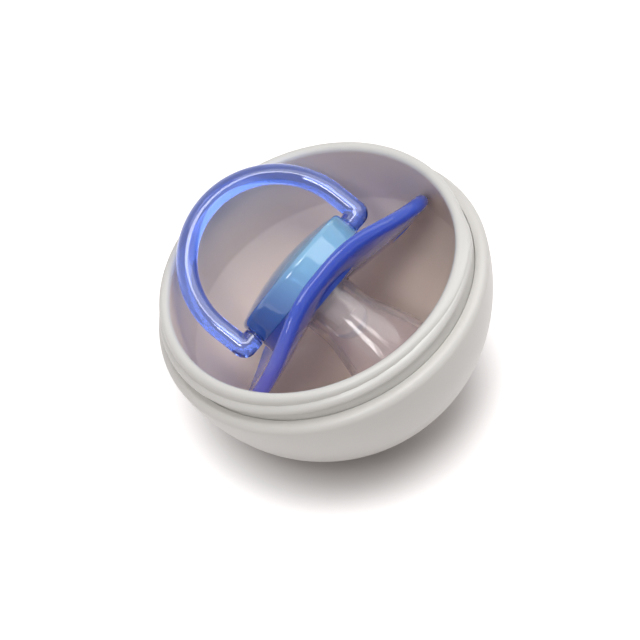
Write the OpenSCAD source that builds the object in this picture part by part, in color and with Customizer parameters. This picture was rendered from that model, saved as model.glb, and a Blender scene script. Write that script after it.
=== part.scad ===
// Open ball-shaped case for sterilizing and storing a pacifier, with the pacifier lying in it.
// The origin is the middle of the flat foot, +Z is up, and the mouth leans towards -X.

/* [Ball case] */
// Angle at which the case leans when it stands on its foot, degrees
lean = 18.2; // [0:0.2:24]
// Wall of the shell over its round belly
shell_wall = 1.6; // [1.2:0.1:2.6]
// Radius of the flatter arc between the belly and the shoulder
side_arc_r = 43; // [38:0.5:60]
// How far below the belly's centre plane the two arcs meet, degrees
blend_lat = 25; // [18:1:32]
// Radius of the flat foot
foot_r = 9; // [7:0.1:11]
// Height of the rim above the belly's centre
rim_h = 7.8; // [7:0.1:10]
// Drop from the rim to the ledge that carries a lid
ledge_drop = 6.3; // [5.6:0.1:6.8]
// Rounding of the shoulder outside the ledge
shoulder_round = 1.6; // [0.8:0.1:2]
// Wall of the shell over its foot
base_wall = 1.7; // [1.2:0.1:2.2]

/* [Inner cup] */
// Room between the tips of the shield and the straight inner wall
tip_room = 0.6; // [0.5:0.1:1.5]
// Wall of the threaded neck
neck_wall = 2.2; // [1.6:0.1:2.3]
// Wall of the cup inside the shell
liner_wall = 1.2; // [0.9:0.1:1.4]
// Gap between the cup and the shell
seat_gap = 0.1; // [0.05:0.05:0.2]

/* [Neck thread] */
// Room between the lower end of the ridge and the ledge
thread_room = 0.4; // [0.3:0.02:1]
// Turn that the thread covers at its full height, degrees
thread_turn = 230; // [150:5:235]
// Where its full height starts, degrees from +X about the neck
thread_start = -2; // [-180:1:180]
// Drop from the rim to the middle of the ridge where it starts
thread_drop = 1.75; // [1.7:0.05:1.9]
// How far the ridge stands out of the neck
thread_h = 1; // [0.5:0.05:1.1]
// Width of the ridge at its root
thread_w = 2.4; // [1.6:0.1:2.5]
// Radius of the bends that lead the ends of the ridge into the neck
thread_run_r = 20; // [10:0.5:24]

/* [Where the pacifier lies] */
// Middle of the shield, sideways from the belly's centre
paci_x = -0.3; // [-0.5:0.1:0]
// Middle of the shield, front to back from the belly's centre
paci_y = 1.4; // [1.2:0.1:1.6]
// Middle of the shield, height from the belly's centre
paci_z = -3.2; // [-3.3:0.1:-2]
// Turn of the pacifier about its long axis, degrees
paci_roll = -65.5; // [-68:0.5:-63]
// Dip of the long axis, degrees
paci_dip = -17.9; // [-20:0.1:-16]
// Heading of the long axis, degrees
paci_heading = 48.6; // [46:0.1:51]

/* [Shield] */
// Half of the shield's length
shield_half_l = 27.6; // [24:0.1:27.8]
// Half of the shield's width
shield_half_w = 19.5; // [17:0.1:20]
// Thickness of the plate
shield_t = 2.9; // [2:0.1:3]
// How far the wings bend back towards the face
wing_drop = 3.1; // [1.5:0.1:3.4]
// How far the long edges flare away from the face
edge_flare = 3.3; // [1:0.1:3.6]
// Share of the width that the waist of the outline gives up
waist = 0.06; // [0:0.01:0.12]
// Width of each vent slot
vent_w = 4.2; // [4:0.1:5]
// Distance between the ends of a vent slot
vent_l = 10; // [8:0.5:12]
// Distance of the vent slots' middle from the tips of the shield
vent_in = 8; // [6.5:0.1:9]

/* [Button hub] */
// Radius of the button and of its seat on the shield
hub_r = 13.9; // [13:0.1:14]
// Height of the button's seat over the plate's middle plane
seat_z = 2.7; // [2.5:0.1:2.9]
// Height of the button's side wall
hub_side_h = 5.2; // [4.8:0.1:5.8]
// Rise of the crowned face over the button's rim
hub_crown = 2.1; // [1:0.1:2.5]
// Rounding of the button's rim
hub_round = 1.1; // [0.6:0.1:1.6]
// Wall that carries the handle's pins
hub_wall = 4.7; // [4.2:0.1:4.8]
// Thickness of the button's face at the edge of its hollow
hub_face = 1.6; // [1.2:0.1:2]

/* [Ring handle] */
// Radius of the handle's bar
bar_r = 2.05; // [1.8:0.05:2.1]
// Straight of the bar between the button and the inner corner of each elbow
bar_straight = 0.9; // [0.6:0.05:1.8]
// How much shorter the handle is than half of the shield, from the hinge to the bar's middle
ring_short = 4.4; // [4.2:0.1:5.2]
// Tilt of the handle where it lies on the rim, degrees
ring_tilt = 8.2; // [3:0.1:8.4]
// Height of the hinge over the button's seat
axle_rise = 2.1; // [2:0.1:2.5]
// Radius of the hinge pins
pin_r = 1.3; // [1:0.05:1.5]
// Running clearance of the pins, on the radius
pin_fit = 0.08; // [0.05:0.01:0.1]
// How far each pin stops short of the button's hollow
pin_short = 1.25; // [0.8:0.05:2]

/* [Teat and plug] */
// Radius of the teat's neck
teat_neck_r = 5.9; // [5:0.1:6.2]
// Half of the bulb's width
bulb_r = 9; // [7.5:0.1:9.2]
// Thickness of the bulb as a share of its width
bulb_flat = 0.75; // [0.6:0.01:0.8]
// Length of the bulb's round end
bulb_end = 8.2; // [7:0.1:10]
// How much shorter the teat is than the radius of the round inside
teat_room = 1; // [0.9:0.1:3]
// Wall of the teat
teat_wall = 1.3; // [0.9:0.1:1.5]
// Room round the flange that is clamped in the shield, inside the button's hollow
flange_room = 0.6; // [0.4:0.1:1.5]
// Thickness of that flange
flange_t = 1; // [0.8:0.1:1.1]
// Thickness of the plug's disc over the flange
disc_t = 0.9; // [0.7:0.1:1]
// Step in from the plug's shank to its nose
nose_step = 0.65; // [0.3:0.05:1]
// Depth of the nose's tip below the plate's middle plane
nose_tip = 10.3; // [8:0.1:12]
// Wall of the plug's hollow nose
plug_wall = 1.6; // [1:0.1:2]
// Gap between pieces that are pressed together
press_gap = 0.05; // [0.02:0.01:0.1]

/* [Hidden] */

shell_color = [0.93, 0.92, 0.90];
cup_color = [0.90, 0.88, 0.86];
shield_color = [0.22, 0.30, 0.66, 0.8];
ring_color = [0.42, 0.48, 0.84, 0.75];
hub_color = [0.33, 0.62, 0.86, 0.9];
teat_color = [0.93, 0.89, 0.87, 0.5];
plug_color = [0.90, 0.90, 0.92, 0.5];

// More than any length of the part, for blocks that cut a shape off
beyond = 100;

// Heights above and below the belly's centre, along the axis of the case
ledge_z = rim_h - ledge_drop;
mouth_r = shield_half_l + tip_room;
cup_r = mouth_r + neck_wall;
inner_r = cup_r - liner_wall;
lip_r = neck_wall / 2;
belly_r = cup_r + seat_gap + shell_wall;

// Ridge of the thread: a round bead sunk into the neck, its lead, and how far its ends bend in
ridge_r = (thread_h * thread_h + thread_w * thread_w / 4) / (2 * thread_h);
ridge_ring_r = cup_r + thread_h - ridge_r;
thread_pitch = (ledge_drop - thread_drop - thread_w / 2 - thread_room) * 360 / thread_turn;
thread_lead = atan(thread_pitch / (2 * PI * ridge_ring_r));
thread_split = 0.1;
run_in = ridge_ring_r - thread_run_r;
run_sunk_r = cup_r - ridge_r - 0.1;
run_turn = acos((pow(run_sunk_r, 2) - run_in * run_in - pow(thread_run_r, 2)) / (2 * run_in * thread_run_r));

// Height of the belly's centre over the foot, and of the flat floors above it
belly_z = sqrt(belly_r * belly_r - foot_r * foot_r);
cup_floor_z = base_wall + seat_gap;
inside_floor_z = cup_floor_z + liner_wall;

// Centre of the side arc, which touches the belly's circle from outside it
side_shift = side_arc_r - belly_r;
side_x = -side_shift * cos(blend_lat);
side_z = side_shift * sin(blend_lat);

// Centre of the shoulder's rounding, tangent to the ledge and to the side arc
round_z = ledge_z - shoulder_round;
round_reach = side_arc_r - shoulder_round;
round_x = side_x + sqrt(round_reach * round_reach - pow(round_z - side_z, 2));
tangent_z = side_z + (round_z - side_z) * side_arc_r / round_reach;
tangent_x = side_x + (round_x - side_x) * side_arc_r / round_reach;

// Pacifier: recess for the flange and the plug's disc, and the sphere of the crowned face
recess_z = seat_z - flange_t - disc_t;
recess_gap = 0.1;
boss_foot_z = 0.2 - shield_t / 2;
vent_x = shield_half_l - vent_in;
hub_edge_z = seat_z + hub_side_h;
axle_z = seat_z + axle_rise;
crown_r = (hub_r * hub_r + hub_crown * hub_crown) / (2 * hub_crown);
crown_z = hub_edge_z + hub_crown - crown_r;
hub_hollow_r = hub_r - hub_wall;
flange_r = hub_hollow_r - flange_room;
hub_hollow_z = crown_z + sqrt(crown_r * crown_r - hub_hollow_r * hub_hollow_r) - hub_face;

// Handle: where its side bars end at the button, and the centre of its half round top
bar_gap = 0.25;
bar_end_x = hub_r + bar_gap;
pin_l = hub_wall + bar_gap - pin_short;
ring_half_w = bar_end_x + bar_straight + bar_r;
ring_top = shield_half_l - ring_short;
top_y = ring_top - ring_half_w;

// Teat and plug: depths below the plate's middle plane, and the plug's shank, nose and hollow
teat_tip = inner_r - teat_room;
bulb_at = teat_tip - bulb_end;
shank_r = teat_neck_r - teat_wall - press_gap;
nose_r = shank_r - nose_step;
plug_bore_r = nose_r - plug_wall;

fine = 96;

// Frames that the pieces are built in

// Frame of the case: origin at the belly's centre, +Z along the axis of the mouth
module in_case() {
    translate([0, 0, belly_z]) rotate([0, -lean, 0]) children();
}

// Frame of the pacifier: X along the hinge and the shield, +Z out of the button
module in_pacifier() {
    translate([paci_x, paci_y, belly_z + paci_z])
        rotate([paci_roll, paci_dip, paci_heading]) children();
}

// Everything above a level floor at height z
module above(z) {
    translate([-beyond, -beyond, z]) cube([2 * beyond, 2 * beyond, beyond]);
}

// Ball case

// Half section of the shell: belly, side arc, rounded shoulder and ledge, each reaching into the next
module belly_section() {
    inside = belly_r / 3;
    low_z = -inside * sin(blend_lat);
    intersection() {
        circle(r = belly_r, $fn = 2 * fine);
        translate([0, -beyond]) square([beyond, beyond + low_z]);
    }
    intersection() {
        translate([side_x, side_z]) circle(r = side_arc_r, $fn = 4 * fine);
        polygon([
            [inside * cos(blend_lat), low_z],
            [beyond * cos(blend_lat), -beyond * sin(blend_lat)],
            [beyond, tangent_z],
            [tangent_x, tangent_z],
            [round_x, round_z],
            [inside * cos(blend_lat), round_z]
        ]);
    }
    translate([round_x, round_z]) circle(r = shoulder_round, $fn = fine);
    translate([0, low_z - 1]) square([round_x, ledge_z - low_z + 1]);
}

// Round body with a straight neck above the belly's centre
module capsule(r, top) {
    sphere(r = r, $fn = fine);
    cylinder(r = r, h = top, $fn = fine);
}

module outer_shell() {
    color(shell_color) difference() {
        in_case() rotate_extrude($fn = fine) belly_section();
        translate([-beyond, -beyond, -beyond]) cube([2 * beyond, 2 * beyond, beyond]);
        intersection() {
            in_case() capsule(cup_r + seat_gap, beyond);
            above(base_wall);
        }
    }
}

// Moves a piece of the ridge to where the thread has turned by this many degrees
module on_thread(turn) {
    rotate([0, 0, thread_start - turn])
        translate([0, 0, rim_h - thread_drop - thread_pitch * turn / 360])
            rotate([thread_lead, 0, 0]) children();
}

// Arc of the ridge, of radius r about the origin, over these degrees to both sides of +X
module ridge_arc(r, from, to) {
    rotate([0, 0, from]) rotate_extrude(angle = to - from, $fn = fine) translate([r, 0]) circle(r = ridge_r, $fn = 48);
}

// Right-hand ridge that runs down the neck: short arcs one after the other, then a bend into the neck
module neck_thread() {
    count = ceil(thread_turn / 50);
    half = thread_turn / count / 2;
    for (i = [0 : count - 1])
        on_thread((2 * i + 1) * half) ridge_arc(ridge_ring_r, thread_split - half, half - thread_split);
    on_thread(0) translate([run_in, 0, 0]) ridge_arc(thread_run_r, thread_split, run_turn);
    on_thread(thread_turn)
        translate([run_in, 0, 0]) ridge_arc(thread_run_r, -run_turn, -thread_split);
}

module inner_cup() {
    color(cup_color) difference() {
        union() {
            intersection() {
                in_case() union() {
                    intersection() {
                        capsule(cup_r, beyond);
                        translate([-beyond, -beyond, rim_h - lip_r - 2 * beyond]) cube(2 * beyond);
                    }
                    translate([0, 0, rim_h - lip_r])
                        rotate_extrude($fn = fine) translate([mouth_r + lip_r, 0]) circle(r = lip_r, $fn = 32);
                }
                above(cup_floor_z);
            }
            in_case() neck_thread();
        }
        intersection() {
            in_case() cylinder(r = mouth_r, h = 2 * beyond, center = true, $fn = fine);
            in_case() capsule(inner_r, beyond);
            above(inside_floor_z);
        }
    }
}

// Shield

// Outline of the shield at angle a: a superellipse with a waist over the nose and chin
function power(v, e) = sign(v) * pow(abs(v), e);
function outline(a) =
    let (x = shield_half_l * power(cos(a), 0.92), y = shield_half_w * power(sin(a), 0.92))
    [x, y * (1 - waist * exp(-pow(x / 9, 2)))];

// Height of the plate's middle surface: wings bent back, long edges flared out
function wing(x) = -wing_drop * (1 - exp(-pow(abs(x) / 15, 2.4)));
function flare(x, y) =
    edge_flare * (1 - pow(min(abs(x) / shield_half_l, 1), 3)) * pow(abs(y) / shield_half_w, 3);
function middle(x, y) = wing(x) + flare(x, y);

// Closed plate: rings out over the outer face, round the edge and back over the inner face
module plate() {
    count = 64;
    half = shield_t / 2;
    spread = [0.22, 0.42, 0.6, 0.76, 0.9];
    edge = [for (t = [0 : 30 : 180]) t];
    function inset(a, d) = let (p = outline(a)) p * (1 - d / norm(p));
    function face_ring(u, side) = [
        for (i = [0 : count - 1])
            let (p = u * inset(360 * i / count, half))
            [p[0], p[1], middle(p[0], p[1]) + side * half]
    ];
    function edge_ring(t) = [
        for (i = [0 : count - 1])
            let (p = inset(360 * i / count, half * (1 - sin(t))))
            [p[0], p[1], middle(p[0], p[1]) + half * cos(t)]
    ];
    rings = concat(
        [for (u = spread) face_ring(u, 1)],
        [for (t = edge) edge_ring(t)],
        [for (i = [len(spread) - 1 : -1 : 0]) face_ring(spread[i], -1)]
    );
    points = concat([for (r = rings) each r], [[0, 0, half], [0, 0, -half]]);
    top = len(points) - 2;
    last = (len(rings) - 1) * count;
    skin = [
        for (r = [0 : len(rings) - 2]) for (i = [0 : count - 1])
            let (j = (i + 1) % count, a = r * count, b = a + count)
            each [[a + i, b + i, b + j], [a + i, b + j, a + j]]
    ];
    caps = [
        for (i = [0 : count - 1])
            let (j = (i + 1) % count)
            each [[top, i, j], [top + 1, last + j, last + i]]
    ];
    polyhedron(points, [for (f = concat(skin, caps)) [f[2], f[1], f[0]]], convexity = 6);
}

// Slot with round ends along Y
module slot(w, l, h) {
    translate([0, -(l - w) / 2, 0]) cylinder(d = w, h = h, center = true, $fn = 32);
    translate([0, (l - w) / 2, 0]) cylinder(d = w, h = h, center = true, $fn = 32);
    cube([w, l - w, h], center = true);
}

module shield() {
    color(shield_color) in_pacifier() difference() {
        union() {
            plate();
            translate([0, 0, boss_foot_z]) cylinder(r = hub_r, h = seat_z - boss_foot_z, $fn = fine);
        }
        translate([0, 0, recess_z]) cylinder(r = flange_r + recess_gap, h = beyond, $fn = fine);
        cylinder(r = teat_neck_r + press_gap, h = beyond, center = true, $fn = fine);
        for (side = [-1, 1]) translate([side * vent_x, 0, 0]) slot(vent_w, vent_l, 4 * shield_t + wing_drop);
    }
}

// Teat and plug

// Half width of the teat at depth d below the plate, taken in by w for the inner skin
function smooth(t) = let (s = max(0, min(1, t))) s * s * (3 - 2 * s);
function teat_half(d, w) = d < bulb_at
    ? teat_neck_r + (bulb_r - teat_neck_r) * smooth((d - 5) / (bulb_at - 5)) - w
    : (bulb_r - w) * sqrt(max(0, 1 - pow((d - bulb_at) / (teat_tip - w - bulb_at), 2)));
function teat_flat(d) = 1 - (1 - bulb_flat) * smooth((d - 5) / (bulb_at - 5));

module teat() {
    count = 32;
    flange_z = recess_z + flange_t;
    bulb_steps = 9;
    function ring(r, z, k) = [
        for (i = [0 : count - 1]) [r * cos(360 * i / count), k * r * sin(360 * i / count), z]
    ];
    function skin_rings(w) = concat(
        [for (d = [2 : 2 : bulb_at]) ring(teat_half(d, w), -d, teat_flat(d))],
        [
            for (i = [1 : bulb_steps])
                let (d = bulb_at + (teat_tip - w - bulb_at) * sin(88 * i / bulb_steps))
                ring(teat_half(d, w), -d, teat_flat(d))
        ]
    );
    bore_r = teat_neck_r - teat_wall;
    inner = skin_rings(teat_wall);
    rings = concat(
        [ring(flange_r, flange_z, 1), ring(flange_r, recess_z, 1), ring(teat_neck_r, recess_z, 1)],
        skin_rings(0),
        [for (i = [len(inner) - 1 : -1 : 0]) inner[i]],
        [ring(bore_r, flange_z, 1)]
    );
    turn = 3 + len(skin_rings(0));
    points = concat([for (r = rings) each r], [[0, 0, -teat_tip], [0, 0, teat_wall - teat_tip]]);
    tip = len(points) - 2;
    walls = [
        for (r = [0 : len(rings) - 1]) if (r != turn - 1) for (i = [0 : count - 1])
            let (j = (i + 1) % count, a = r * count, b = ((r + 1) % len(rings)) * count)
            each [[a + i, b + i, b + j], [a + i, b + j, a + j]]
    ];
    tips = [
        for (i = [0 : count - 1])
            let (j = (i + 1) % count, a = (turn - 1) * count, b = turn * count)
            each [[a + i, tip, a + j], [b + i, b + j, tip + 1]]
    ];
    color(teat_color) in_pacifier()
        polyhedron(points, [for (f = concat(walls, tips)) [f[2], f[1], f[0]]], convexity = 6);
}

module teat_plug() {
    disc_z = recess_z + flange_t;
    shank_tip = 2.2;
    color(plug_color) in_pacifier() difference() {
        union() {
            translate([0, 0, disc_z]) cylinder(r = flange_r, h = disc_t, $fn = fine);
            translate([0, 0, -shank_tip]) cylinder(r = shank_r, h = disc_z + shank_tip, $fn = fine);
            translate([0, 0, nose_r - nose_tip]) cylinder(r = nose_r, h = nose_tip - nose_r, $fn = fine);
            translate([0, 0, nose_r - nose_tip]) sphere(r = nose_r, $fn = fine);
        }
        translate([0, 0, nose_r - nose_tip]) cylinder(r = plug_bore_r, h = beyond, $fn = 48);
    }
}

// Button hub

// Half section of the button, with its rim rounded into the crowned face
module hub_section() {
    rim_x = hub_r - hub_round;
    rim_z = crown_z + sqrt(pow(crown_r - hub_round, 2) - rim_x * rim_x);
    k = crown_r / (crown_r - hub_round);
    difference() {
        union() {
            translate([0, seat_z]) square([hub_r, rim_z - seat_z]);
            translate([rim_x, rim_z]) circle(r = hub_round, $fn = 48);
            intersection() {
                translate([0, crown_z]) circle(r = crown_r, $fn = 4 * fine);
                polygon([
                    [0, seat_z],
                    [rim_x, seat_z],
                    [rim_x, rim_z],
                    [rim_x * k, crown_z + (rim_z - crown_z) * k],
                    [rim_x * k, beyond],
                    [0, beyond]
                ]);
            }
        }
        translate([0, seat_z - 1]) square([hub_hollow_r, hub_hollow_z - seat_z + 1]);
    }
}

module hub_cap() {
    color(hub_color) in_pacifier() difference() {
        rotate_extrude($fn = fine) hub_section();
        translate([0, 0, axle_z]) rotate([0, 90, 0])
            cylinder(r = pin_r + pin_fit, h = 2 * beyond, center = true, $fn = 48);
    }
}

// Ring handle, drawn in its own plane: X along the hinge, Y away from it

// Half of the handle: a pin, then the bar round one corner and up to the half round top
module half_handle() {
    translate([bar_end_x - pin_l, 0, 0]) rotate([0, 90, 0]) cylinder(r = pin_r, h = pin_l + bar_r, $fn = 48);
    translate([bar_end_x, 0, 0]) rotate([0, 90, 0])
        cylinder(r = bar_r, h = ring_half_w - bar_end_x, $fn = 48);
    translate([ring_half_w, 0, 0]) sphere(r = bar_r, $fn = 48);
    translate([ring_half_w, 0, 0]) rotate([-90, 0, 0]) cylinder(r = bar_r, h = top_y, $fn = 48);
}

module ring_handle() {
    color(ring_color) in_pacifier() translate([0, 0, axle_z]) rotate([90 - ring_tilt, 0, 0]) union() {
        half_handle();
        mirror([1, 0, 0]) half_handle();
        translate([0, top_y, 0]) rotate_extrude(angle = 180, $fn = 2 * fine)
            translate([ring_half_w, 0]) circle(r = bar_r, $fn = 48);
    }
}

outer_shell();
inner_cup();
shield();
teat();
teat_plug();
hub_cap();
ring_handle();
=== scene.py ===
"""Open ball-shaped pacifier case with the pacifier lying in it.

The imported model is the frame. Every piece is a smooth surface worked out from the case's own sizes,
and it replaces the solid of the same name.
"""

import math

import bpy
import numpy as np
from mathutils import Matrix


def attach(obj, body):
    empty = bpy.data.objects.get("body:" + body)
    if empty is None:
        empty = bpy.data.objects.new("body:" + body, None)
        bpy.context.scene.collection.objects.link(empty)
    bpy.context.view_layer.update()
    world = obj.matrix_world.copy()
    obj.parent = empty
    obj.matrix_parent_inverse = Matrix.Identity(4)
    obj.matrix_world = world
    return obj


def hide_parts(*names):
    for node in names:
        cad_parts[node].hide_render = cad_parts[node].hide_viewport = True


MM = 0.001
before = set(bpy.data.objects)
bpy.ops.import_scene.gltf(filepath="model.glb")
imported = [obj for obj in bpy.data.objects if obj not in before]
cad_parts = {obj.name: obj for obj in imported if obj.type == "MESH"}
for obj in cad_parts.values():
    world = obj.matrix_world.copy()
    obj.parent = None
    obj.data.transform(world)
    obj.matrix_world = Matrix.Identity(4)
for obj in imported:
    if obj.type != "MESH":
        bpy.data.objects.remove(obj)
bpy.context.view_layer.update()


# Sizes of the case, in millimetres and degrees. Heights are along its axis from the belly's middle, apart
# from BASE_WALL, which is over the floor.

LEAN = 18.2
BELLY_R = 32.1
SIDE_ARC_R = 43.0
BLEND_LAT = 25.0
FOOT_R = 9.0
RIM_H = 7.8
LEDGE_Z = RIM_H - 6.3
SHOULDER_ROUND = 1.6
BASE_WALL = 1.7
MOUTH_R = 28.2
NECK_WALL = 2.2
LINER_WALL = 1.2
SEAT_GAP = 0.1
THREAD_PITCH = 4.617
THREAD_TURN = 230.0
THREAD_START = -2.0
THREAD_DROP = 1.75
THREAD_H = 1.0
THREAD_W = 2.4
THREAD_FADE = 20.0
CREASE_RISE = 0.9
CREASE_ROUND = 2.0
CREASE_STEP = 1.8
# The next two place the warm tint painted inside the cup as shade: distances past the mouth's radius, and
# depths under the rim.
INNER_SHADE_IN = (0.75, 0.02)
INNER_SHADE_DOWN = (0.35, 1.3)

CUP_R = MOUTH_R + NECK_WALL
INNER_R = CUP_R - LINER_WALL
LIP_R = NECK_WALL / 2
BELLY_Z = math.sqrt(BELLY_R**2 - FOOT_R**2)
CUP_FLOOR_Z = BASE_WALL + SEAT_GAP
INSIDE_FLOOR_Z = CUP_FLOOR_Z + LINER_WALL

# Sizes of the pacifier, in millimetres, in its own frame

PACI_AT = np.array([-0.3, 1.4, BELLY_Z - 3.2])
PACI_TURN = (-65.5, -17.9, 48.6)
SHIELD_L = 27.6
SHIELD_W = 19.5
SHIELD_T = 2.9
WING_DROP = 3.1
EDGE_FLARE = 3.3
WAIST = 0.06
VENT_W = 4.2
VENT_L = 10.0
VENT_X = 19.6
HUB_R = 13.9
SEAT_Z = 2.7
HUB_EDGE_Z = 7.9
HUB_CROWN = 2.1
HUB_ROUND = 1.1
HUB_WALL = 4.7
HUB_FACE = 1.6
BAR_R = 2.05
RING_HALF_W = 17.1
RING_TOP = 23.2
RING_TILT = 8.2
AXLE_Z = 4.8
PIN_R = 1.3
PIN_FIT = 0.08
PIN_L = 3.7
TEAT_NECK_R = 5.9
BULB_R = 9.0
BULB_FLAT = 0.75
BULB_AT = 20.0
TEAT_TIP = 28.2
TEAT_WALL = 1.3
FLANGE_R = 8.6
FLANGE_T = 1.0
DISC_T = 0.9
NOSE_R = 3.9
NOSE_TIP = 10.3
PLUG_BORE_R = 2.3
RECESS_Z = SEAT_Z - FLANGE_T - DISC_T
RECESS_GAP = 0.1
PRESS_GAP = 0.05
BAR_GAP = 0.25
SHANK_TIP = 2.2

# Points round a piece, and the angle in degrees past which an edge stays sharp

ROUND = 360
SHARP = 40.0
HUB_SHARP = 35.0


# Frames and meshes


def turn_about(axis, degrees):
    """Rotation matrix about one of the three axes."""
    a = math.radians(degrees)
    i, j = [k for k in range(3) if k != axis]
    if axis == 1:
        i, j = j, i
    m = np.eye(3)
    m[i, i] = m[j, j] = math.cos(a)
    m[i, j], m[j, i] = -math.sin(a), math.sin(a)
    return m


CASE_TURN = turn_about(1, -LEAN)
CASE_AT = np.array([0.0, 0.0, BELLY_Z])
PACI_MATRIX = turn_about(2, PACI_TURN[2]) @ turn_about(1, PACI_TURN[1]) @ turn_about(0, PACI_TURN[0])


def in_case(points):
    """Points given in the case's frame, whose +Z runs out of the mouth, brought into the row frame."""
    return points @ CASE_TURN.T + CASE_AT


def in_pacifier(points):
    """Points given in the pacifier's frame, whose +Z runs out of the button, brought into the row frame."""
    return points @ PACI_MATRIX.T + PACI_AT


def closed_mesh(name, rows, loop=False, sharp=SHARP):
    """Closed mesh over rows of points in millimetres, each row running once round the piece.

    Points i and i + 1 of a row make a four-sided face with the same two of the next row. A row that has
    shrunk to one point is a pole, with three-sided faces. With loop the last row joins the first.
    """
    sizes = np.array([len(r) for r in rows])
    starts = np.cumsum(sizes) - sizes
    i = np.arange(sizes.max())
    j = (i + 1) % len(i)
    corners, counts = [], []
    for low in range(len(rows) if loop else len(rows) - 1):
        high = (low + 1) % len(rows)
        a, b = starts[low], starts[high]
        poles = (sizes[low] == 1, sizes[high] == 1)
        if all(poles):
            continue
        if poles[0]:
            faces = np.stack([np.full(len(i), a), b + j, b + i], 1)
        elif poles[1]:
            faces = np.stack([a + i, a + j, np.full(len(i), b)], 1)
        else:
            faces = np.stack([a + i, a + j, b + j, b + i], 1)
        corners.append(faces.ravel())
        counts.append(np.full(len(i), faces.shape[1]))
    corners, counts = np.concatenate(corners), np.concatenate(counts)
    mesh = bpy.data.meshes.new(name)
    mesh.vertices.add(sizes.sum())
    mesh.vertices.foreach_set("co", (np.concatenate(rows) * MM).ravel())
    mesh.loops.add(len(corners))
    mesh.loops.foreach_set("vertex_index", corners)
    mesh.polygons.add(len(counts))
    mesh.polygons.foreach_set("loop_start", np.cumsum(counts) - counts)
    mesh.update(calc_edges=True)
    mesh.validate()
    mesh.shade_smooth()
    mesh.set_sharp_from_angle(angle=math.radians(sharp))
    point_outwards(mesh)
    return mesh


def point_outwards(mesh):
    """Turns every face over if the signed volume, the sum of a . (b x c) over the triangles, is negative."""
    mesh.calc_loop_triangles()
    corners = np.zeros(len(mesh.vertices) * 3)
    mesh.vertices.foreach_get("co", corners)
    corners = corners.reshape(-1, 3)
    triangles = np.zeros(len(mesh.loop_triangles) * 3, int)
    mesh.loop_triangles.foreach_get("vertices", triangles)
    a, b, c = (corners[triangles.reshape(-1, 3)[:, k]] for k in range(3))
    if np.einsum("ij,ij->", a, np.cross(b, c)) < 0:
        mesh.flip_normals()
    mesh.update()


def placed(name, data):
    """A new object in the scene, at the origin."""
    thing = bpy.data.objects.new(name, data)
    bpy.context.scene.collection.objects.link(thing)
    return thing


def solid_from_rows(name, rows, body, replaced, loop=False, sharp=SHARP):
    """A closed mesh over rows of points that rides on its body and takes the place of the solid."""
    piece = placed(name, closed_mesh(name, rows, loop, sharp))
    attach(piece, body)
    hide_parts(replaced)
    return piece


def cut_away(piece, name, rows, sharp=SHARP):
    """Takes the room of a closed mesh over the rows out of the piece for good."""
    cutter = placed(name, closed_mesh(name, rows))
    cut = piece.modifiers.new("cut", "BOOLEAN")
    cut.object = cutter
    cut.operation = "DIFFERENCE"
    cut.solver = "EXACT"
    bpy.context.view_layer.update()
    depsgraph = bpy.context.evaluated_depsgraph_get()
    piece_mesh = bpy.data.meshes.new_from_object(piece.evaluated_get(depsgraph))
    piece.modifiers.clear()
    piece.data = piece_mesh
    bpy.data.objects.remove(cutter)
    piece_mesh.shade_smooth()
    piece_mesh.set_sharp_from_angle(angle=math.radians(sharp))


def revolved(profile, count, place):
    """Rows of points: each (radius, height) of the profile carried once round the Z axis."""
    a = np.linspace(0, 2 * np.pi, count, endpoint=False)
    rows = []
    for radius, height in profile:
        if radius < 1e-6:
            rows.append(place(np.array([[0.0, 0.0, height]])))
        else:
            rows.append(place(np.stack([radius * np.cos(a), radius * np.sin(a), np.full(count, height)], 1)))
    return rows


def arc(centre, radius, start, end, steps):
    """Points on a circular arc from start to end degrees, both ends included."""
    t = np.radians(np.linspace(start, end, steps))
    return [(centre[0] + radius * math.cos(k), centre[1] + radius * math.sin(k)) for k in t]


def line(start, end, steps):
    """Points on a straight line, both ends included."""
    return [tuple(p) for p in np.linspace(start, end, steps)]


def rounded(points, radius, steps=5):
    """A polyline whose inner corners are cut to smooth curves that start this far from each corner."""
    pts = [np.array(p, float) for p in points]
    out = [tuple(pts[0])]
    for before, corner, after in zip(pts[:-2], pts[1:-1], pts[2:]):
        reach = min(radius, np.linalg.norm(before - corner) / 2.05, np.linalg.norm(after - corner) / 2.05)
        a = corner + (before - corner) / np.linalg.norm(before - corner) * reach
        b = corner + (after - corner) / np.linalg.norm(after - corner) * reach
        for t in np.linspace(0, 1, steps):
            out.append(tuple((1 - t) ** 2 * a + 2 * t * (1 - t) * corner + t**2 * b))
    out.append(tuple(pts[-1]))
    return out


def ball_rows(radius, latitude, flat_z, count, steps):
    """Rows over a sphere about the belly's centre, from a circle square to the case's axis to a level flat.

    Each point turns at an even rate from its place on the tilted circle to its place on the flat's edge.
    """
    a = np.linspace(0, 2 * np.pi, count, endpoint=False)
    lat = math.radians(latitude)
    top = np.stack([math.cos(lat) * np.cos(a), math.cos(lat) * np.sin(a), np.full(count, math.sin(lat))], 1)
    top = top @ CASE_TURN.T
    dip = math.asin((BELLY_Z - flat_z) / radius)
    low = np.stack([math.cos(dip) * np.cos(a), math.cos(dip) * np.sin(a), np.full(count, -math.sin(dip))], 1)
    angle = np.arccos(np.clip((top * low).sum(1), -1, 1))[:, None]
    rows = []
    for t in np.linspace(0, 1, steps):
        way = (np.sin((1 - t) * angle) * top + np.sin(t * angle) * low) / np.sin(angle)
        rows.append(way * radius + CASE_AT)
    return rows


def flat_rows(edge, steps):
    """Rows that close a level flat: the edge drawn in evenly to the flat's middle."""
    middle = np.array([0.0, 0.0, edge[0][2]])
    rows = [middle + (edge - middle) * (1 - t) for t in np.linspace(0, 1, steps + 1)[1:-1]]
    return rows + [middle[None, :]]


# Ball case


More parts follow.
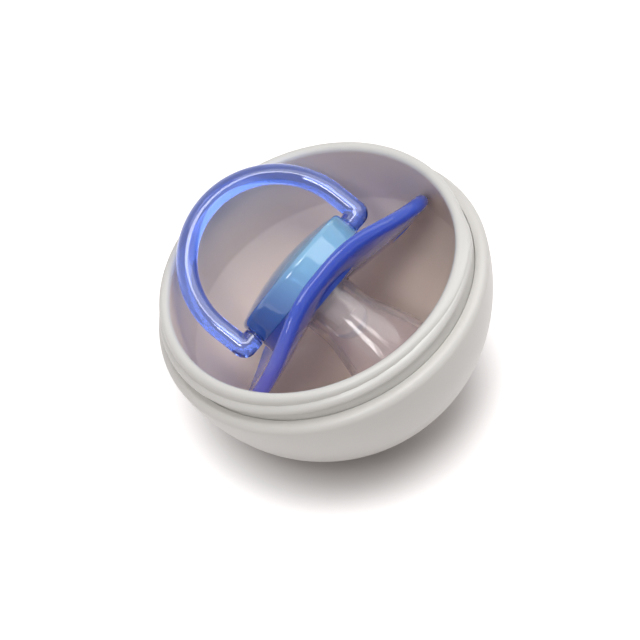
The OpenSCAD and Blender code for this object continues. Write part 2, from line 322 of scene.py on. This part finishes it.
def make_outer_shell():
    """Belly sphere, flatter side arc, rounded shoulder and ledge, with the seat of the cup inside.

    Outside, a sphere runs from the flat foot to the start of the side arc, which meets it with one tangent
    and runs into the shoulder's arc. Inside, a straight seat runs down into a sphere as deep as the cup.
    """
    shift = SIDE_ARC_R - BELLY_R
    side = (-shift * math.cos(math.radians(BLEND_LAT)), shift * math.sin(math.radians(BLEND_LAT)))
    round_z = LEDGE_Z - SHOULDER_ROUND
    reach = SIDE_ARC_R - SHOULDER_ROUND
    round_x = side[0] + math.sqrt(reach**2 - (round_z - side[1]) ** 2)
    meet = math.degrees(math.atan2(round_z - side[1], round_x - side[0]))
    seat_r = CUP_R + SEAT_GAP
    wall = arc(side, SIDE_ARC_R, -BLEND_LAT, meet, 26)[1:]
    shoulder = arc((round_x, round_z), SHOULDER_ROUND, meet, 90, 16)[1:]
    ledge = rounded([(round_x - 0.2, LEDGE_Z), (seat_r, LEDGE_Z), (seat_r, LEDGE_Z - 1.2)], 0.15)
    seat = line((seat_r, LEDGE_Z - 1.4), (seat_r, 0), 4)
    outer = ball_rows(BELLY_R, -BLEND_LAT, 0.0, ROUND, 40)
    inner = ball_rows(seat_r, 0.0, BASE_WALL, ROUND, 30)
    rows = flat_rows(outer[-1], 4)[::-1] + outer[::-1]
    rows += revolved(wall + shoulder + ledge + seat, ROUND, in_case)
    rows += inner[1:] + flat_rows(inner[-1], 3)
    return solid_from_rows("outer_shell_skin", rows, "case", "outer_shell")


def thread_lift(angle, height):
    """How far the neck stands out at an angle and height: a round-backed ridge on a helix.

    The ridge falls by one pitch a turn, and over THREAD_FADE past either end it runs out. Across it the
    height goes with (1 - c^2)^0.9 (1 + c^2 / 4), where c is the distance from its middle over its half width.
    """
    turn = (THREAD_START - angle + 2 * THREAD_FADE) % 360.0 - 2 * THREAD_FADE
    ridge_z = RIM_H - THREAD_DROP - THREAD_PITCH * turn / 360.0
    past = np.maximum(-turn, turn - THREAD_TURN)
    ease = 0.5 + 0.5 * np.cos(np.pi * np.clip(past / THREAD_FADE, 0, 1))
    ease = np.where(turn > THREAD_TURN + THREAD_FADE, 0.0, ease)
    across = np.clip(np.abs(height - ridge_z) / (THREAD_W / 2 * (0.55 + 0.45 * ease)), 0, 1)
    return THREAD_H * ease * (1 - across**2) ** 0.9 * (1 + 0.25 * across**2)


def make_inner_cup():
    """Round-bottomed cup with a crease ring inside, a straight threaded neck and a rounded lip.

    Rows of the neck and the lip's start have radius cup radius + thread_lift, which dies out over six rows.
    """
    a = np.linspace(0, 2 * np.pi, ROUND, endpoint=False)
    outer = ball_rows(CUP_R, 0.0, CUP_FLOOR_Z, ROUND, 30)
    rows = flat_rows(outer[-1], 3)[::-1] + outer[::-1]
    for height in np.concatenate([[0.7, 1.4], np.linspace(1.5, RIM_H - LIP_R, 56)]):
        radius = CUP_R + thread_lift(np.degrees(a), height)
        rows.append(in_case(np.stack([radius * np.cos(a), radius * np.sin(a), np.full(ROUND, height)], 1)))
    lip = arc((MOUTH_R + LIP_R, RIM_H - LIP_R), LIP_R, 0, 180, 21)[1:]
    crease_z = -math.sqrt(INNER_R**2 - MOUTH_R**2)
    crease_lat = math.degrees(math.asin(crease_z / INNER_R))
    wall = line((MOUTH_R, RIM_H - LIP_R - 0.4), (MOUTH_R, crease_z + CREASE_RISE), 12)
    bowl_lat = crease_lat - CREASE_STEP
    bowl_start = (INNER_R * math.cos(math.radians(bowl_lat)), INNER_R * math.sin(math.radians(bowl_lat)))
    crease = [(MOUTH_R, crease_z + CREASE_RISE), (MOUTH_R, crease_z), bowl_start]
    crease = rounded(crease, CREASE_ROUND, 7)[1:-1]
    rim_rows = revolved(lip, ROUND, in_case)
    for k, (radius, height) in enumerate(lip):
        near = 1 - k / 6.0
        if near > 0:
            lift = near * thread_lift(np.degrees(a), np.full(ROUND, RIM_H - LIP_R))
            r = radius + lift
            rim_rows[k] = in_case(np.stack([r * np.cos(a), r * np.sin(a), np.full(ROUND, height)], 1))
    rows += rim_rows + revolved(wall + crease, ROUND, in_case)
    inner = ball_rows(INNER_R, bowl_lat, INSIDE_FLOOR_Z, ROUND, 44)
    rows += inner + flat_rows(inner[-1], 4)
    return solid_from_rows("inner_cup_skin", rows, "case", "inner_cup")


# Shield


def wing(x):
    """Wings bent back: level at the middle, then falling off to a plateau."""
    return -WING_DROP * (1 - np.exp(-((np.abs(x) / 15.0) ** 2.4)))


def flare(x, y):
    """Long edges flared out as the cube of the distance across, fading towards the tips."""
    along = 1 - np.minimum(np.abs(x) / SHIELD_L, 1) ** 3
    return EDGE_FLARE * along * (np.abs(y) / SHIELD_W) ** 3


def outline(angle):
    """Superellipse with a waist at the middle of its long sides; rows of (x, y)."""
    c, s = np.cos(angle), np.sin(angle)
    x = SHIELD_L * np.sign(c) * np.abs(c) ** 0.92
    y = SHIELD_W * np.sign(s) * np.abs(s) ** 0.92
    return np.stack([x, y * (1 - WAIST * np.exp(-((x / 9.0) ** 2)))], 1)


def make_shield():
    """Plate between two offsets of the saddle surface, with a rounded edge and the button's round seat.

    The saddle's height is wing(x) + flare(x, y), half the plate's thickness is added on top and taken off
    underneath, and the edge is a half circle. Between the seat and the edge each point runs straight out.
    """
    a = np.linspace(0, 2 * np.pi, ROUND, endpoint=False)
    half = SHIELD_T / 2
    edge = outline(a)
    length = np.linalg.norm(edge, axis=1)[:, None]
    round_way = np.stack([np.cos(a), np.sin(a)], 1)
    hole_r = TEAT_NECK_R + PRESS_GAP
    recess_r = FLANGE_R + RECESS_GAP

    def flat(xy, z):
        return in_pacifier(np.column_stack([xy, np.broadcast_to(z, len(xy))]))

    def middle(xy):
        return wing(xy[:, 0]) + flare(xy[:, 0], xy[:, 1])

    def spread(t):
        start = round_way * (HUB_R + 0.45)
        return start + (edge * (1 - half / length) - start) * t

    seat = rounded([(hole_r, RECESS_Z), (recess_r, RECESS_Z), (recess_r, SEAT_Z), (HUB_R, SEAT_Z)], 0.12, 3)
    rows = [flat(round_way * r, z) for r, z in seat]
    side = round_way * HUB_R
    top = np.minimum(middle(side) + half, SEAT_Z - 0.15)
    rows.append(flat(side, SEAT_Z - 0.1))
    rows.append(flat(side, top * 0.75 + SEAT_Z * 0.25))
    rows.append(flat(side * (1 + 0.012), top * 0.96 + SEAT_Z * 0.04))
    for t in np.linspace(0, 1, 22) ** 0.9:
        xy = spread(t)
        rows.append(flat(xy, middle(xy) + half))
    for k in np.radians(np.linspace(0, 180, 19))[1:-1]:
        xy = edge * (1 - half * (1 - math.sin(k)) / length)
        rows.append(flat(xy, middle(xy) + half * math.cos(k)))
    for t in np.linspace(1, 0, 22) ** 0.9:
        xy = spread(t)
        rows.append(flat(xy, middle(xy) - half))
    rows.append(flat(side, np.minimum(middle(side) - half, -1.0)))
    for r in np.linspace(HUB_R - 0.8, hole_r + 0.3, 6):
        xy = round_way * r
        rows.append(flat(xy, np.minimum(middle(xy) - half, -1.0)))
    xy = round_way * hole_r
    rows.append(flat(xy, np.minimum(middle(xy) - half, -1.0) + 0.3))
    rows.append(flat(xy, RECESS_Z - 0.3))
    piece = solid_from_rows("shield_skin", rows, "pacifier", "shield", loop=True)
    for x in (-VENT_X, VENT_X):
        cut_away(piece, "vent_cutter", vent_rows(x))
    return piece


def vent_rows(x):
    """Prism longer than the plate is thick, over a circle whose two halves are moved apart along Y."""
    t = np.linspace(0, 2 * np.pi, 64, endpoint=False)
    shift = np.sign(np.sin(t)) * (VENT_L - VENT_W) / 2
    edge = np.stack([x + VENT_W / 2 * np.cos(t), VENT_W / 2 * np.sin(t) + shift], 1)
    middle = np.array([[x, 0.0]])
    return [
        in_pacifier(np.column_stack([xy, np.full(len(xy), z)]))
        for xy, z in ((middle, -9.0), (edge, -9.0), (edge, 7.0), (middle, 7.0))
    ]


# Teat and plug


def smooth(t):
    """Eased step from 0 to 1 with level ends."""
    s = np.clip(t, 0, 1)
    return s * s * (3 - 2 * s)


def teat_half(d, wall):
    """Half width of the teat at depth d, drawn in by wall: neck eased out to the bulb, then an ellipse."""
    if d < BULB_AT:
        return TEAT_NECK_R + (BULB_R - TEAT_NECK_R) * smooth((d - 5) / (BULB_AT - 5)) - wall
    return (BULB_R - wall) * math.sqrt(max(0.0, 1 - ((d - BULB_AT) / (TEAT_TIP - wall - BULB_AT)) ** 2))


def make_teat():
    """Hollow bulb, round at the neck and flattened at the bulb, with a flange at its open end.

    Both skins are ellipses with half widths teat_half and flatness x teat_half, at depths down to the tip.
    """
    count = 160
    a = np.linspace(0, 2 * np.pi, count, endpoint=False)
    flange_z = RECESS_Z + FLANGE_T

    def ring(r, z, k=1.0):
        return in_pacifier(np.stack([r * np.cos(a), k * r * np.sin(a), np.full(count, z)], 1))

    def flatness(d):
        return 1 - (1 - BULB_FLAT) * smooth((d - 5) / (BULB_AT - 5))

    def skin(wall):
        nose = BULB_AT + (TEAT_TIP - wall - BULB_AT) * np.sin(np.radians(np.linspace(4, 89, 24)))
        depths = np.concatenate([np.linspace(1.0, BULB_AT, 34), nose])
        return [ring(teat_half(d, wall), -d, flatness(d)) for d in depths]

    def tip(z):
        return in_pacifier(np.array([[0.0, 0.0, z]]))

    bore_r = TEAT_NECK_R - TEAT_WALL
    flange = [(bore_r, flange_z), (FLANGE_R, flange_z), (FLANGE_R, RECESS_Z)]
    flange = rounded(flange + [(TEAT_NECK_R, RECESS_Z), (TEAT_NECK_R, 0)], 0.25, 4)
    rows = [ring(r, z) for r, z in flange] + skin(0.0) + [tip(-TEAT_TIP)]
    rows += [tip(TEAT_WALL - TEAT_TIP)] + skin(TEAT_WALL)[::-1] + [ring(bore_r, flange_z - 0.4)]
    return solid_from_rows("teat_skin", rows, "pacifier", "teat", loop=True)


def make_teat_plug():
    """Clear disc with a hollow shank and a round nose: one profile carried round the pacifier's axis."""
    disc_z = RECESS_Z + FLANGE_T
    disc_top = disc_z + DISC_T
    shank_r = TEAT_NECK_R - TEAT_WALL - PRESS_GAP
    nose_z = NOSE_R - NOSE_TIP
    bore = [(PLUG_BORE_R * 0.6, nose_z), (PLUG_BORE_R, nose_z), (PLUG_BORE_R, disc_top - 0.2)]
    disc = [(PLUG_BORE_R, disc_top), (FLANGE_R, disc_top), (FLANGE_R, disc_z), (shank_r, disc_z)]
    shank = [(shank_r, -SHANK_TIP), (NOSE_R, -SHANK_TIP), (NOSE_R, nose_z + 0.4)]
    profile = [(0, nose_z), (PLUG_BORE_R * 0.5, nose_z)] + rounded(bore, 0.3, 4)
    profile += rounded(disc + shank, 0.25, 4)
    profile += arc((0, nose_z), NOSE_R, 0, -90, 20)[:-1] + [(0, -NOSE_TIP)]
    rows = revolved(profile, 128, in_pacifier)
    return solid_from_rows("teat_plug_skin", rows, "pacifier", "teat_plug")


# Button


def make_hub_cap():
    """Crowned button with a rounded rim, a hollow back and two pin holes through its wall.

    One profile carried round the pacifier's axis: the crown is an arc of radius (r^2 + h^2) / (2 h) for a
    crown h high over the button's radius r, and the rim's arc meets it with one tangent.
    """
    crown_r = (HUB_R**2 + HUB_CROWN**2) / (2 * HUB_CROWN)
    crown_z = HUB_EDGE_Z + HUB_CROWN - crown_r
    rim_x = HUB_R - HUB_ROUND
    rim_z = crown_z + math.sqrt((crown_r - HUB_ROUND) ** 2 - rim_x**2)
    meet = math.degrees(math.atan2(rim_z - crown_z, rim_x))
    hollow_r = HUB_R - HUB_WALL
    hollow_z = crown_z + math.sqrt(crown_r**2 - hollow_r**2) - HUB_FACE
    hollow = [(0.5, hollow_z), (hollow_r, hollow_z), (hollow_r, SEAT_Z)]
    profile = [(0, hollow_z)] + rounded(hollow + [(HUB_R, SEAT_Z), (HUB_R, SEAT_Z + 1.5)], 0.2, 4)
    profile += line((HUB_R, SEAT_Z + 1.6), (HUB_R, rim_z), 8)
    profile += arc((rim_x, rim_z), HUB_ROUND, 0, meet, 14)[1:]
    profile += arc((0, crown_z), crown_r, meet, 90, 24)[1:-1] + [(0, crown_z + crown_r)]
    rows = revolved(profile, 288, in_pacifier)
    piece = solid_from_rows("hub_cap_skin", rows, "pacifier", "hub_cap", sharp=HUB_SHARP)
    cut_away(piece, "pin_hole_cutter", pin_hole_rows(), HUB_SHARP)
    return piece


def pin_hole_rows():
    """Round bar along the hinge through the whole button: a circle of the pins' radius and running fit."""
    t = np.linspace(0, 2 * np.pi, 64, endpoint=False)
    edge = (PIN_R + PIN_FIT) * np.stack([np.cos(t), np.sin(t)], 1) + [0, AXLE_Z]
    middle = np.array([[0.0, AXLE_Z]])
    return [
        in_pacifier(np.column_stack([np.full(len(yz), x), yz]))
        for x, yz in ((-20.0, middle), (-20.0, edge), (20.0, edge), (20.0, middle))
    ]


# Ring handle


def handle_rows():
    """Right half of the bar as rows of (x, y, off) in the ring's plane, from the pin's end to the top.

    The section is a circle. A line along the bar that lies u towards the outside runs straight out of the
    button, turns a corner rounded by 0.3 + 0.55 (u + bar radius), goes up the side and over a half circle.
    """
    bar_end = HUB_R + BAR_GAP
    top_y = RING_TOP - RING_HALF_W
    a = np.linspace(0, 2 * np.pi, 72, endpoint=False)
    steps = [(-PIN_L, PIN_R - 0.25), (0.1 - PIN_L, PIN_R - 0.08), (0.3 - PIN_L, PIN_R), (-0.02, PIN_R)]
    steps += [(0, BAR_R - 0.2), (0.05, BAR_R - 0.08), (0.16, BAR_R), (0.4, BAR_R)]
    rows = [(np.full(len(a), bar_end + x), -r * np.cos(a), r * np.sin(a)) for x, r in steps]
    u, off = BAR_R * np.cos(a), BAR_R * np.sin(a)
    turn_r = 0.3 + 0.55 * (u + BAR_R)
    for k in np.radians(np.linspace(0, 90, 25)):
        x = RING_HALF_W + u - turn_r * (1 - math.sin(k))
        rows.append((x, turn_r * (1 - math.cos(k)) - u, off))
    rows += [(RING_HALF_W + u, np.full(len(a), y), off) for y in np.linspace(2.7, top_y, 8)]
    for k in np.radians(np.linspace(1, 90, 60)):
        rows.append(((RING_HALF_W + u) * math.cos(k), top_y + (RING_HALF_W + u) * math.sin(k), off))
    return rows


def make_ring_handle():
    """The bar's half and its mirror image, set up in the tilted plane of the ring on the hinge."""
    tilt = math.radians(RING_TILT)
    half = handle_rows()
    rows = []
    for x, y, off in half + [(-x, y, off) for x, y, off in half[-2::-1]]:
        high = AXLE_Z + y * math.cos(tilt) + off * math.sin(tilt)
        rows.append(in_pacifier(np.stack([x, y * math.sin(tilt) - off * math.cos(tilt), high], 1)))
    ends = [rows[k].mean(axis=0)[None, :] for k in (0, -1)]
    rows = [ends[0]] + rows + [ends[1]]
    return solid_from_rows("ring_handle_skin", rows, "handle", "ring_handle")


# Materials


def mould_grain_group():
    """Fine mould grain: a cloudy tone, a roughness that wanders a little, and a shallow height."""
    group = bpy.data.node_groups.new("mould_grain", "ShaderNodeTree")
    group.interface.new_socket("Vector", in_out="INPUT", socket_type="NodeSocketVector")
    for label in ("Cloud Scale", "Grain Scale", "Roughness", "Spread"):
        group.interface.new_socket(label, in_out="INPUT", socket_type="NodeSocketFloat")
    for label in ("Cloud", "Roughness", "Height"):
        group.interface.new_socket(label, in_out="OUTPUT", socket_type="NodeSocketFloat")
    nodes, links = group.nodes, group.links
    given, out = nodes.new("NodeGroupInput"), nodes.new("NodeGroupOutput")
    cloud, grain = nodes.new("ShaderNodeTexNoise"), nodes.new("ShaderNodeTexNoise")
    cloud.inputs["Detail"].default_value = 3
    grain.inputs["Detail"].default_value = 2
    for tex, scale in ((cloud, "Cloud Scale"), (grain, "Grain Scale")):
        links.new(given.outputs["Vector"], tex.inputs["Vector"])
        links.new(given.outputs[scale], tex.inputs["Scale"])
    centred = nodes.new("ShaderNodeMath")
    centred.operation = "SUBTRACT"
    centred.inputs[1].default_value = 0.5
    links.new(cloud.outputs["Fac"], centred.inputs[0])
    rough = nodes.new("ShaderNodeMath")
    rough.operation = "MULTIPLY_ADD"
    links.new(centred.outputs[0], rough.inputs[0])
    links.new(given.outputs["Spread"], rough.inputs[1])
    links.new(given.outputs["Roughness"], rough.inputs[2])
    links.new(cloud.outputs["Fac"], out.inputs["Cloud"])
    links.new(rough.outputs[0], out.inputs["Roughness"])
    links.new(grain.outputs["Fac"], out.inputs["Height"])
    return group


def plastic(name, dark, light, group, roughness, bump, cloud_scale=60.0, grain_scale=2500.0, spread=0.06):
    """Moulded plastic whose colour wanders between two close tones, with grain from the shared group."""
    material = bpy.data.materials.new(name)
    material.use_nodes = True
    nodes, links = material.node_tree.nodes, material.node_tree.links
    shader = nodes["Principled BSDF"]
    place = nodes.new("ShaderNodeTexCoord")
    grain = nodes.new("ShaderNodeGroup")
    grain.node_tree = group
    grain.inputs["Cloud Scale"].default_value = cloud_scale
    grain.inputs["Grain Scale"].default_value = grain_scale
    grain.inputs["Roughness"].default_value = roughness
    grain.inputs["Spread"].default_value = spread
    links.new(place.outputs["Object"], grain.inputs["Vector"])
    tone = nodes.new("ShaderNodeMix")
    tone.data_type = "RGBA"
    tone.inputs["A"].default_value = (*dark, 1)
    tone.inputs["B"].default_value = (*light, 1)
    links.new(grain.outputs["Cloud"], tone.inputs["Factor"])
    links.new(tone.outputs["Result"], shader.inputs["Base Color"])
    links.new(grain.outputs["Roughness"], shader.inputs["Roughness"])
    relief = nodes.new("ShaderNodeBump")
    relief.inputs["Strength"].default_value = bump
    relief.inputs["Distance"].default_value = 0.0001
    links.new(grain.outputs["Height"], relief.inputs["Height"])
    links.new(relief.outputs["Normal"], shader.inputs["Normal"])
    return material, shader, tone


def srgb(red, green, blue):
    """A colour given as it shows on a screen, from 0 to 255, in the renderer's own terms."""
    screen = (value / 255.0 for value in (red, green, blue))
    return tuple(v / 12.92 if v <= 0.04045 else ((v + 0.055) / 1.055) ** 2.4 for v in screen)


def shell_plastic(grain):
    """Satin off-white plastic with a faint fine grain."""
    return plastic("shell_satin_white", srgb(220, 217, 213), srgb(227, 225, 221), grain, 0.34, 0.08)[0]


def cup_plastic(grain):
    """Off-white neck and lip, and a warm pale tint painted on the inside as shade of the hollow, parted on
    the lip's inner side.

    The inside's tone comes in between the two distances of INNER_SHADE_IN past the mouth's radius, and
    between the two depths of INNER_SHADE_DOWN under the rim.
    """
    name, dark, light = "cup_white_with_painted_inner_shade", srgb(218, 216, 212), srgb(226, 224, 220)
    material, shader, tone = plastic(name, dark, light, grain, 0.30, 0.06)
    nodes, links = material.node_tree.nodes, material.node_tree.links
    place = nodes.new("ShaderNodeTexCoord")
    turn = nodes.new("ShaderNodeMapping")
    turn.vector_type = "POINT"
    turn.inputs["Location"].default_value = tuple(-(CASE_TURN.T @ CASE_AT) * MM)
    turn.inputs["Rotation"].default_value = (0, math.radians(LEAN), 0)
    links.new(place.outputs["Object"], turn.inputs["Vector"])
    split = nodes.new("ShaderNodeSeparateXYZ")
    links.new(turn.outputs["Vector"], split.inputs["Vector"])
    flat = nodes.new("ShaderNodeCombineXYZ")
    links.new(split.outputs["X"], flat.inputs["X"])
    links.new(split.outputs["Y"], flat.inputs["Y"])
    reach = nodes.new("ShaderNodeVectorMath")
    reach.operation = "LENGTH"
    links.new(flat.outputs["Vector"], reach.inputs[0])
    inside = nodes.new("ShaderNodeMapRange")
    inside.interpolation_type = "SMOOTHSTEP"
    inside.inputs["From Min"].default_value = (MOUTH_R + INNER_SHADE_IN[0]) * MM
    inside.inputs["From Max"].default_value = (MOUTH_R + INNER_SHADE_IN[1]) * MM
    links.new(reach.outputs["Value"], inside.inputs["Value"])
    depth = nodes.new("ShaderNodeMapRange")
    depth.interpolation_type = "SMOOTHSTEP"
    depth.inputs["From Min"].default_value = (RIM_H - INNER_SHADE_DOWN[0]) * MM
    depth.inputs["From Max"].default_value = (RIM_H - INNER_SHADE_DOWN[1]) * MM
    links.new(split.outputs["Z"], depth.inputs["Value"])
    both = nodes.new("ShaderNodeMath")
    both.operation = "MULTIPLY"
    links.new(inside.outputs["Result"], both.inputs[0])
    links.new(depth.outputs["Result"], both.inputs[1])
    # Warm tint painted on the inside of the cup, standing in for the shade of the hollow.
    painted_shade = nodes.new("ShaderNodeMix")
    painted_shade.data_type = "RGBA"
    painted_shade.inputs["B"].default_value = (*srgb(251, 232, 215), 1)
    links.new(tone.outputs["Result"], painted_shade.inputs["A"])
    links.new(both.outputs[0], painted_shade.inputs["Factor"])
    links.new(painted_shade.outputs["Result"], shader.inputs["Base Color"])
    return material


def clear_plastic(name, dark, light, grain, roughness, transmission, ior, glow=0.0, ramp=None, coat=0.8):
    """See-through plastic or silicone: coloured body, polished surface with a faint ripple.

    A glow lets light that enters the body spread a few millimetres inside it. A ramp runs the colour from
    dark to light between two places along the pacifier's long axis, in millimetres; it paints light and shade
    on the piece.
    """
    material, shader, tone = plastic(
        name, dark, light, grain, roughness, bump=0.006, cloud_scale=90.0, grain_scale=500.0, spread=0.02
    )
    if ramp:
        nodes, links = material.node_tree.nodes, material.node_tree.links
        place, along = nodes.new("ShaderNodeTexCoord"), nodes.new("ShaderNodeVectorMath")
        along.operation = "DOT_PRODUCT"
        along.inputs[1].default_value = tuple(PACI_MATRIX[:, 0])
        links.new(place.outputs["Object"], along.inputs[0])
        start = float(PACI_AT @ PACI_MATRIX[:, 0])
        run = nodes.new("ShaderNodeMapRange")
        run.interpolation_type = "SMOOTHSTEP"
        run.inputs["From Min"].default_value = (start + ramp[0]) * MM
        run.inputs["From Max"].default_value = (start + ramp[1]) * MM
        links.new(along.outputs["Value"], run.inputs["Value"])
        links.new(run.outputs["Result"], tone.inputs["Factor"])
    shader.inputs["Coat Weight"].default_value = coat
    shader.inputs["Coat Roughness"].default_value = 0.02
    shader.inputs["Subsurface Weight"].default_value = glow
    shader.inputs["Subsurface Radius"].default_value = (0.4, 0.5, 1.0)
    shader.inputs["Subsurface Scale"].default_value = 0.01
    shader.inputs["Transmission Weight"].default_value = transmission
    shader.inputs["IOR"].default_value = ior
    return material


def shield_plastic(grain):
    """Royal blue, with light spread inside it, and painted light that makes it paler and more violet towards
    its lower end.
    """
    low, high = srgb(112, 112, 206), srgb(60, 88, 196)
    looks = {"roughness": 0.04, "transmission": 0.02, "ior": 1.3, "glow": 0.7, "coat": 0.5}
    # The ramp paints light on the plate's lower end.
    return clear_plastic("shield_royal_blue", low, high, grain, ramp=(-24, -9), **looks)


def hub_plastic(grain):
    """Sky blue, with painted shade that deepens it towards its lower side."""
    low, high = srgb(64, 120, 214), srgb(146, 212, 251)
    looks = {"roughness": 0.05, "transmission": 0.3, "ior": 1.49}
    # The ramp paints shade on the button's lower side.
    return clear_plastic("hub_sky_blue", low, high, grain, ramp=(-14, 3), **looks)


def ring_plastic(grain):
    """Clear blue-violet."""
    dark, light = srgb(112, 142, 246), srgb(126, 158, 251)
    looks = {"roughness": 0.02, "transmission": 0.95, "ior": 1.49}
    return clear_plastic("ring_blue_violet", dark, light, grain, **looks)


def teat_silicone(grain):
    """Clear silicone, a little softer in its shine than the plastics and without their coat."""
    dark, light = srgb(253, 243, 243), srgb(254, 248, 248)
    looks = {"roughness": 0.06, "transmission": 0.84, "ior": 1.41, "coat": 0.0}
    return clear_plastic("teat_silicone_clear", dark, light, grain, **looks)


def plug_plastic(grain):
    """Clear hard plastic without a coat."""
    dark, light = srgb(246, 242, 246), srgb(252, 248, 252)
    looks = {"roughness": 0.02, "transmission": 0.78, "ior": 1.49, "coat": 0.0}
    return clear_plastic("plug_clear", dark, light, grain, **looks)


def dress(piece, material):
    """Gives the piece its one material."""
    piece.data.materials.clear()
    piece.data.materials.append(material)


grain = mould_grain_group()
dress(make_outer_shell(), shell_plastic(grain))
dress(make_inner_cup(), cup_plastic(grain))
dress(make_shield(), shield_plastic(grain))
dress(make_hub_cap(), hub_plastic(grain))
dress(make_ring_handle(), ring_plastic(grain))
dress(make_teat(), teat_silicone(grain))
dress(make_teat_plug(), plug_plastic(grain))


# Floor, light and camera

# Emission paints light on the floor: plain white past the second distance from the shadow's middle, and none
# within the first, where the floor shows as lit, so the shadow stays a small patch. Distances are in metres.
SHADOW_AT = (0.004, 0.002, 0.0)
PAINTED_LIGHT_FADE = (0.020, 0.037)
PAINTED_LIGHT_LIFT = (0.0, 0.8)
FLOOR_HALF = 3.0

# Strength of the light from all round, and the point in metres at which the lamps are aimed
WORLD = 0.31
LAMPS_AIM = (0.0, 0.0, 0.03)

# The camera looks down at this many degrees, from this many metres, with this many pixels of a picture
# 640 wide to the millimetre at its target. The target is a point on the case's axis, this high above the
# belly's middle, moved in millimetres to the left of the picture and down.
LOOK_DOWN = 52.1
DISTANCE = 0.9
PIXELS_PER_MM = 5.293
AIM_Z = 0.88
AIM_LEFT = 0.25
AIM_DOWN = 5.80


def make_floor():
    """Large floor, lit like paper, with a warm grey base colour that paints its shadow darker; away from the
    case, painted light from emission lifts it to plain white for what sees it.
    """
    mesh = bpy.data.meshes.new("studio_floor")
    s = FLOOR_HALF
    mesh.from_pydata([(-s, -s, 0), (s, -s, 0), (s, s, 0), (-s, s, 0)], [], [(0, 1, 2, 3)])
    floor = placed("studio_floor", mesh)
    material = bpy.data.materials.new("floor_painted_light")
    material.use_nodes = True
    nodes, links = material.node_tree.nodes, material.node_tree.links
    shader = nodes["Principled BSDF"]
    # Warm grey base colour: painted shade that darkens the shadow by the case.
    shader.inputs["Base Color"].default_value = (0.64, 0.605, 0.595, 1)
    shader.inputs["Roughness"].default_value = 0.9
    shader.inputs["Specular IOR Level"].default_value = 0.0
    shader.inputs["Emission Color"].default_value = (1, 1, 1, 1)
    place = nodes.new("ShaderNodeTexCoord")
    reach = nodes.new("ShaderNodeVectorMath")
    reach.operation = "DISTANCE"
    reach.inputs[1].default_value = SHADOW_AT
    links.new(place.outputs["Object"], reach.inputs[0])
    away = nodes.new("ShaderNodeMapRange")
    away.interpolation_type = "SMOOTHSTEP"
    away.inputs["From Min"].default_value = PAINTED_LIGHT_FADE[0]
    away.inputs["From Max"].default_value = PAINTED_LIGHT_FADE[1]
    away.inputs["To Min"].default_value = PAINTED_LIGHT_LIFT[0]
    away.inputs["To Max"].default_value = PAINTED_LIGHT_LIFT[1]
    links.new(reach.outputs["Value"], away.inputs["Value"])
    lift = nodes.new("ShaderNodeMath")
    lift.operation = "MULTIPLY"
    links.new(seen_by_camera(nodes, links), lift.inputs[0])
    links.new(away.outputs["Result"], lift.inputs[1])
    links.new(lift.outputs[0], shader.inputs["Emission Strength"])
    floor.data.materials.append(material)


def seen_by_camera(nodes, links):
    """1 for camera, glossy and see-through rays, and 0 for light that bounces on."""
    path = nodes.new("ShaderNodeLightPath")
    first, second = nodes.new("ShaderNodeMath"), nodes.new("ShaderNodeMath")
    for node in (first, second):
        node.operation = "MAXIMUM"
    links.new(path.outputs["Is Camera Ray"], first.inputs[0])
    links.new(path.outputs["Is Glossy Ray"], first.inputs[1])
    links.new(first.outputs[0], second.inputs[0])
    links.new(path.outputs["Is Transmission Ray"], second.inputs[1])
    return second.outputs[0]


def make_world():
    """Even soft light all round, which shows as plain white, in reflections and through clear plastic too."""
    world = bpy.data.worlds.new("studio_air")
    bpy.context.scene.world = world
    world.use_nodes = True
    nodes, links = world.node_tree.nodes, world.node_tree.links
    back = nodes["Background"]
    back.inputs["Color"].default_value = (1, 1, 1, 1)
    strength = nodes.new("ShaderNodeMix")
    strength.data_type = "FLOAT"
    strength.inputs["A"].default_value = WORLD
    strength.inputs["B"].default_value = 1.0
    links.new(seen_by_camera(nodes, links), strength.inputs["Factor"])
    links.new(strength.outputs["Result"], back.inputs["Strength"])


def make_lamp(name, place, size, power):
    """Oblong soft lamp at a place, pointed at the case, with its size in metres and its power in watts."""
    data = bpy.data.lights.new(name, "AREA")
    data.shape = "RECTANGLE"
    data.size, data.size_y = size
    data.energy = power
    aim_at(placed(name, data), np.array(place), np.array(LAMPS_AIM), np.array([0.0, 0.0, 1.0]))


def aim_at(thing, place, target, up):
    """Places a lamp or camera and turns its -Z to the target with its +Y as near up as can be."""
    back = (place - target) / np.linalg.norm(place - target)
    right = np.cross(up, back)
    right /= np.linalg.norm(right)
    top = np.cross(back, right)
    m = np.eye(4)
    m[:3, 0], m[:3, 1], m[:3, 2], m[:3, 3] = right, top, back, place
    thing.matrix_world = Matrix(m.tolist())


def make_camera():
    """Long lens from the front and above, at the photograph's angle."""
    elevation = math.radians(LOOK_DOWN)
    back = np.array([0.0, -math.cos(elevation), math.sin(elevation)])
    up = np.array([0.0, math.sin(elevation), math.cos(elevation)])
    middle = in_case(np.array([[0.0, 0.0, AIM_Z]]))[0]
    target = (middle - AIM_DOWN * up - np.array([AIM_LEFT, 0, 0])) * MM
    data = bpy.data.cameras.new("camera")
    data.sensor_width = 36.0
    data.lens = data.sensor_width * DISTANCE / (640 / PIXELS_PER_MM * MM)
    camera = placed("camera", data)
    aim_at(camera, target + back * DISTANCE, target, up)
    bpy.context.scene.camera = camera


make_floor()
make_world()
make_lamp("window_above", (0.28, 0.15, 0.76), (0.5, 0.8), 2.6)
make_lamp("strip_above", (-0.06, -0.14, 0.80), (0.42, 0.16), 1.3)
make_lamp("fill_front", (-0.20, -0.46, 0.68), (0.18, 0.18), 1.25)
make_lamp("fill_left", (-0.34, 0.16, 0.70), (0.2, 0.2), 0.25)
make_camera()
bpy.context.scene.view_settings.view_transform = "Standard"
